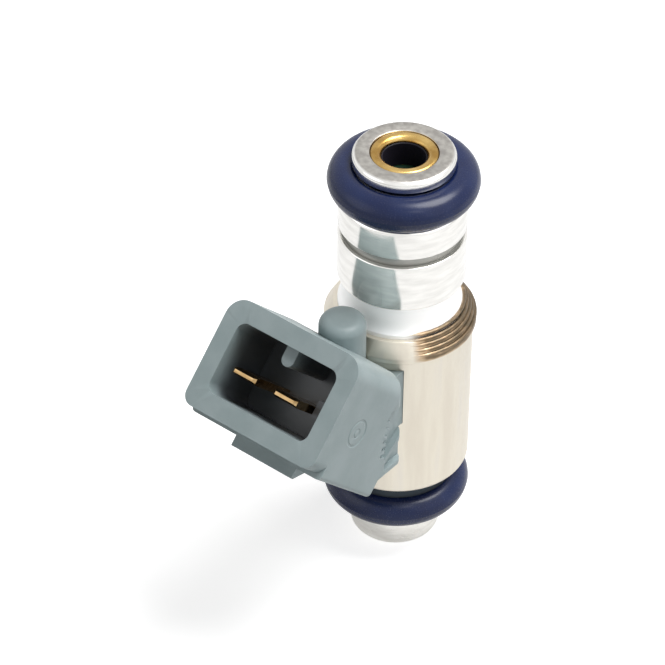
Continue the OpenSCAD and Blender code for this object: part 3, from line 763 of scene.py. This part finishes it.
# ---- socket moulding ----
# Grey glass-filled nylon, moulded in one shot round the coil. The socket, its latch lug and
# the round boss beside the waist all have the small edge radii that a mould leaves.

def merged_copy(node, name):
    """A welded copy of a CAD node's mesh, with its flat faces whole again."""
    data = nodes[node].data.copy()
    data.name = name
    piece = bpy.data.objects.new(name, data)
    scene.collection.objects.link(piece)
    mesh = bmesh.new()
    mesh.from_mesh(data)
    bmesh.ops.remove_doubles(mesh, verts=mesh.verts, dist=0.002 * MM)
    bmesh.ops.dissolve_limit(mesh, angle_limit=math.radians(0.4), verts=mesh.verts,
                             edges=mesh.edges)
    return piece, mesh


socket_low, socket_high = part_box("connector_body")
moulding, mesh = merged_copy("connector_body", "socket_moulding")
edge_radius = 0.22 * MM
sharp = math.radians(38)
outside_y = can_low.y - 0.4 * MM
rounded = [e for e in mesh.edges if e.is_manifold and e.is_convex
           and e.calc_face_angle() > sharp
           and max(v.co.y for v in e.verts) < outside_y]
bmesh.ops.bevel(mesh, geom=rounded, offset=edge_radius, offset_type="OFFSET", segments=3,
                profile=0.5, affect="EDGES", clamp_overlap=True)
bmesh.ops.triangulate(mesh, faces=[f for f in mesh.faces if len(f.verts) > 4])
mesh.to_mesh(moulding.data)
mesh.free()

nylon = moulded("grey_plastic", (0.258, 0.320, 0.326), (0.300, 0.362, 0.370), (0.36, 0.5), 0.012)
tree, shader = opened(nylon)

# the cavity's walls take a painted shade: a darker colour that deepens inwards, for the shade
# deep in the socket. Whether that is only shade or a dark sealing compound isn't known: as a
# guess its walls take a darker colour that deepens inwards.
mouth_half = 5.7
cavity_half_wide = 6.04
cavity_half_high = 3.74
cavity_depth = 8.0
shade_from = -0.2
deepest_shade_from = -3.6
tilt = math.radians(45)
mouth = Vector((0, socket_low.y / MM + mouth_half * math.sin(tilt),
                socket_high.z / MM - mouth_half * math.cos(tilt)))
out_of_mouth = Vector((0, -1, 1)).normalized()
up_the_mouth = Vector((0, 1, 1)).normalized()


def along(tree, direction):
    """Distance in millimetres from the middle of the socket's mouth along a direction."""
    dot = add(tree, "ShaderNodeVectorMath", {0: place(tree), 1: tuple(direction)},
              operation="DOT_PRODUCT").outputs["Value"]
    return add(tree, "ShaderNodeMath", {0: dot, 1: mouth.dot(direction)},
               operation="SUBTRACT").outputs[0]


inwards = along(tree, out_of_mouth)
painted_cavity_shade = times(tree, spread(tree, inwards, 1, 0, deepest_shade_from, shade_from),
                 within(tree, inwards, -cavity_depth - 0.1, 1))
for direction, half in (((1, 0, 0), cavity_half_wide), (up_the_mouth, cavity_half_high)):
    painted_cavity_shade = times(tree, painted_cavity_shade, within(tree, along(tree, Vector(direction)), -half, half))
recoloured(tree, shader, painted_cavity_shade, (0.085, 0.098, 0.112), 0.3)
moulding.data.materials.clear()
moulding.data.materials.append(nylon)
if "custom_normal" in moulding.data.attributes:
    moulding.data.attributes.remove(moulding.data.attributes["custom_normal"])

# each flank has a faint ring with a pip in it, such as an ejector pin leaves
flank = socket_high.x / MM
ring_depth = 0.07
ring_y = -16.5
ring_z = 27.1
slope = 0.1
for side in (-1, 1):
    for inner, outer in ((0.30, 0.55), (1.15, 1.50)):
        pin = turned_piece("pin", [
            (inner, ring_depth + 1), (inner, ring_depth), (inner + slope, 0),
            (outer - slope, 0), (outer, ring_depth), (outer, ring_depth + 1)], nylon, 48)
        lay = Matrix.Rotation(math.radians(90 * side), 4, "Y")
        pin.data.transform(Matrix.Translation(
            Vector((side * (flank - ring_depth), ring_y, ring_z)) * MM) @ lay)
        cut(moulding, pin)

# notches stand in a row along the front of the pocket in each flank
notch_sizes = {"Notches": 7, "Width": 0.001, "Depth": 0.001, "Length": 0.001,
               "First Y": 0.0, "First Z": 0.0, "Last Y": 0.0, "Last Z": 0.0, "Side": 0.0}
notches, given = new_tree("notches", notch_sizes)
first = add(notches, "ShaderNodeCombineXYZ", {"X": given["Side"], "Y": given["First Y"],
                                              "Z": given["First Z"]})
last = add(notches, "ShaderNodeCombineXYZ", {"X": given["Side"], "Y": given["Last Y"],
                                             "Z": given["Last Z"]})
row = add(notches, "GeometryNodeMeshLine", {"Count": given["Notches"],
                                            "Start Location": first.outputs[0],
                                            "Offset": last.outputs[0]}, mode="END_POINTS")
size = add(notches, "ShaderNodeCombineXYZ", {"X": given["Depth"], "Y": given["Length"],
                                             "Z": given["Width"]})
brick = add(notches, "GeometryNodeMeshCube", {"Size": size.outputs[0]})
lean = add(notches, "GeometryNodeTransform", {"Geometry": brick.outputs[0],
                                              "Rotation": (math.radians(-20), 0, 0)})
stood = add(notches, "GeometryNodeInstanceOnPoints", {"Points": row.outputs[0],
                                                      "Instance": lean.outputs[0]})
close_tree(notches, stood.outputs[0], given["Finish"])
for side in (-1, 1):
    comb = grown("comb", notches, {
        "Notches": 6, "Width": 0.44 * MM, "Depth": 1.7 * MM, "Length": 1.1 * MM,
        "First Y": -12.35 * MM, "First Z": 21.4 * MM, "Last Y": -11.25 * MM,
        "Last Z": 25.4 * MM, "Side": side * flank * MM}, nylon)
    cut(moulding, comb)
moulding.data.shade_smooth()
moulding.data.set_sharp_from_angle(angle=math.radians(32))
shading = moulding.modifiers.new("flat", "WEIGHTED_NORMAL")
shading.mode = "FACE_AREA"
shading.weight = 100
shading.keep_sharp = True
settle(moulding)
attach(moulding, "body")
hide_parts("connector_body")


# ---- terminals ----
# Two blades are stamped from bronze strip and moulded into the socket's floor. They carry the
# coil's current.
bronze = turned_metal("bronze", (0.30, 0.19, 0.08), (0.60, 0.42, 0.22), (0.16, 0.28), 0.3)
wear(bronze, "terminal_left", "terminal_right")


# ---- coil ----
# Enamelled copper wire is wound on a black moulded bobbin, inside the can. Only its outer layer
# is made turn by turn; a plain core stands under it.
bobbin_black = moulded("bobbin_black", (0.01, 0.01, 0.012), (0.02, 0.02, 0.022), (0.35, 0.5))
copper = turned_metal("copper_wire", (0.35, 0.10, 0.03), (0.60, 0.22, 0.08), (0.2, 0.35), 0.25)
wear(bobbin_black, "coil_bobbin")
winding_low, winding_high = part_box("coil_winding")
winding_r = winding_high.x / MM
winding_h = (winding_high.z - winding_low.z) / MM
wire_r = 0.13
core_inner_r = 4.7
core_gap = 0.02
layer = wound("winding_layer", winding_r - wire_r, wire_r, winding_low.z / MM, winding_h,
              round(winding_h / wire_r / 2) - 1, 1, copper, 48)
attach(layer, "body")
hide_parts("coil_winding")
under = turned_piece("winding_core", [
    (core_inner_r, winding_low.z / MM + core_gap),
    (winding_r - wire_r, winding_low.z / MM + core_gap),
    (winding_r - wire_r, winding_high.z / MM - core_gap),
    (core_inner_r, winding_high.z / MM - core_gap)], copper, 64)
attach(under, "body")


# ---- valve ----
# The needle tube, ball, guide, seat and thin spray plate are hardened and ground steel. The
# ball is joined to the needle tube, and lifts off its seat with it.
hard_steel = turned_metal("hard_steel", (0.55, 0.55, 0.54), (0.75, 0.75, 0.74), (0.1, 0.2))
wear(hard_steel, "needle_tube", "valve_ball", "ball_guide", "valve_seat", "spray_plate")


# ---- valve body and tip ring ----
# The valve body is a steel turning that closes the can from below. The turned tip ring goes
# round its end and keeps the valve's plates and the lower seal on.
tip_steel = turned_metal("tip_steel", (0.82, 0.80, 0.75), (0.94, 0.925, 0.88), (0.25, 0.38))
tree, shader = opened(tip_steel)
# the collar that shows between the can and the seal takes a dark colour: painted shade under the
# can; the collar that shows between the can and the seal is dark; blackened steel is a guess
collar_from = 7.8
collar_to = 9.72
painted_collar_shade = within(tree, rise(tree), collar_from, collar_to)
recoloured(tree, shader, painted_collar_shade, (0.045, 0.055, 0.065), 0.4)
wear(tip_steel, "valve_body")
tip_low, tip_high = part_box("tip_ring")
tip_r = tip_high.x / MM
tip_top = tip_high.z / MM
mouth_r = 2.0
mouth_edge = 0.12
tip_round = 0.85
tip_edge = 0.2
lip = 0.6
tip = turned_piece("tip_turned", [
    *arc(mouth_r + mouth_edge, mouth_edge, mouth_edge, 180, 270, 3),
    *arc(tip_r - tip_round, tip_round, tip_round, -90, 0, 8),
    *arc(tip_r - tip_edge, tip_top - tip_edge, tip_edge, 0, 90, 4),
    (core_r, tip_top), (core_r, lip), (mouth_r, lip)], tip_steel, 128)
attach(tip, "body")
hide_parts("tip_ring")


# ---- O-rings ----
# Two moulded seals of navy-blue rubber sit in the grooves, with the faint line that the
# mould leaves round their outside.
rubber = moulded("blue_rubber", (0.0055, 0.0125, 0.058), (0.009, 0.019, 0.075), (0.25, 0.28),
                 0.0008, 0.32)
flash = 0.015
for node, name in (("top_oring", "top_seal"), ("lower_oring", "lower_seal")):
    ring_low, ring_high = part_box(node)
    section_r = (ring_high.z - ring_low.z) / MM / 2
    centre_r = ring_high.x / MM - section_r
    centre_z = (ring_high.z + ring_low.z) / MM / 2
    outline = [(centre_r + r * math.cos(math.radians(a)), centre_z + r * math.sin(math.radians(a)))
               for a, r in [(-1.3, section_r + flash), (1.3, section_r + flash)]
               + [(a, section_r) for a in (3, *range(10, 360, 10), 357)]]
    seal = turned_piece(name, outline, rubber, 128)
    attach(seal, "body")
    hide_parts(node)
